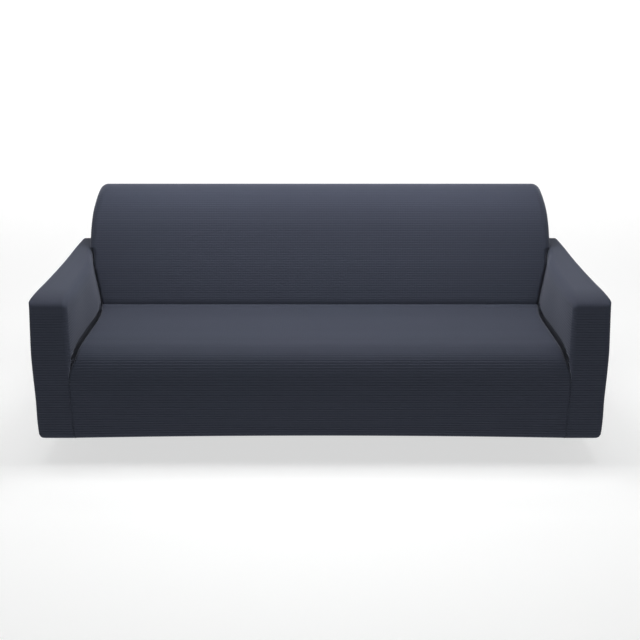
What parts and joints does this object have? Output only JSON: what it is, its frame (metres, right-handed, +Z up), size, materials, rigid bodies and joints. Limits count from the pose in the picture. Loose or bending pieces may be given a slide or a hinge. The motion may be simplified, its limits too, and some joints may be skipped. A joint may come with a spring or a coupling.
{
  "type": "sofa slipcover",
  "caption": "Fitted stretch cloth cover that goes over a square-armed sofa, hollow and open underneath, with tucked creases and a turned hem.",
  "frame": {"origin": "the underside of the top of the back, half way across, where the sofa's back holds the cover up", "axes": "+X across, to the right as the front is seen, along the cover's length; +Y from the arm fronts to the rear; +Z up"},
  "size_m": [2.0434, 0.8262, 0.7645],
  "materials": {
    "seat_and_front_panel": "matt stretch knit with fine crosswise ribs",
    "inside_back_panel": "matt stretch knit with fine crosswise ribs",
    "outside_back_panel": "matt stretch knit with fine crosswise ribs",
    "left_arm_panel": "matt stretch knit with fine crosswise ribs",
    "right_arm_panel": "matt stretch knit with fine crosswise ribs"
  },
  "bodies": {
    "root": {"seat_and_front_panel": "seat_and_front_panel", "inside_back_panel": "inside_back_panel", "outside_back_panel": "outside_back_panel", "left_arm_panel": "left_arm_panel", "right_arm_panel": "right_arm_panel"}
  },
  "joints": []
}
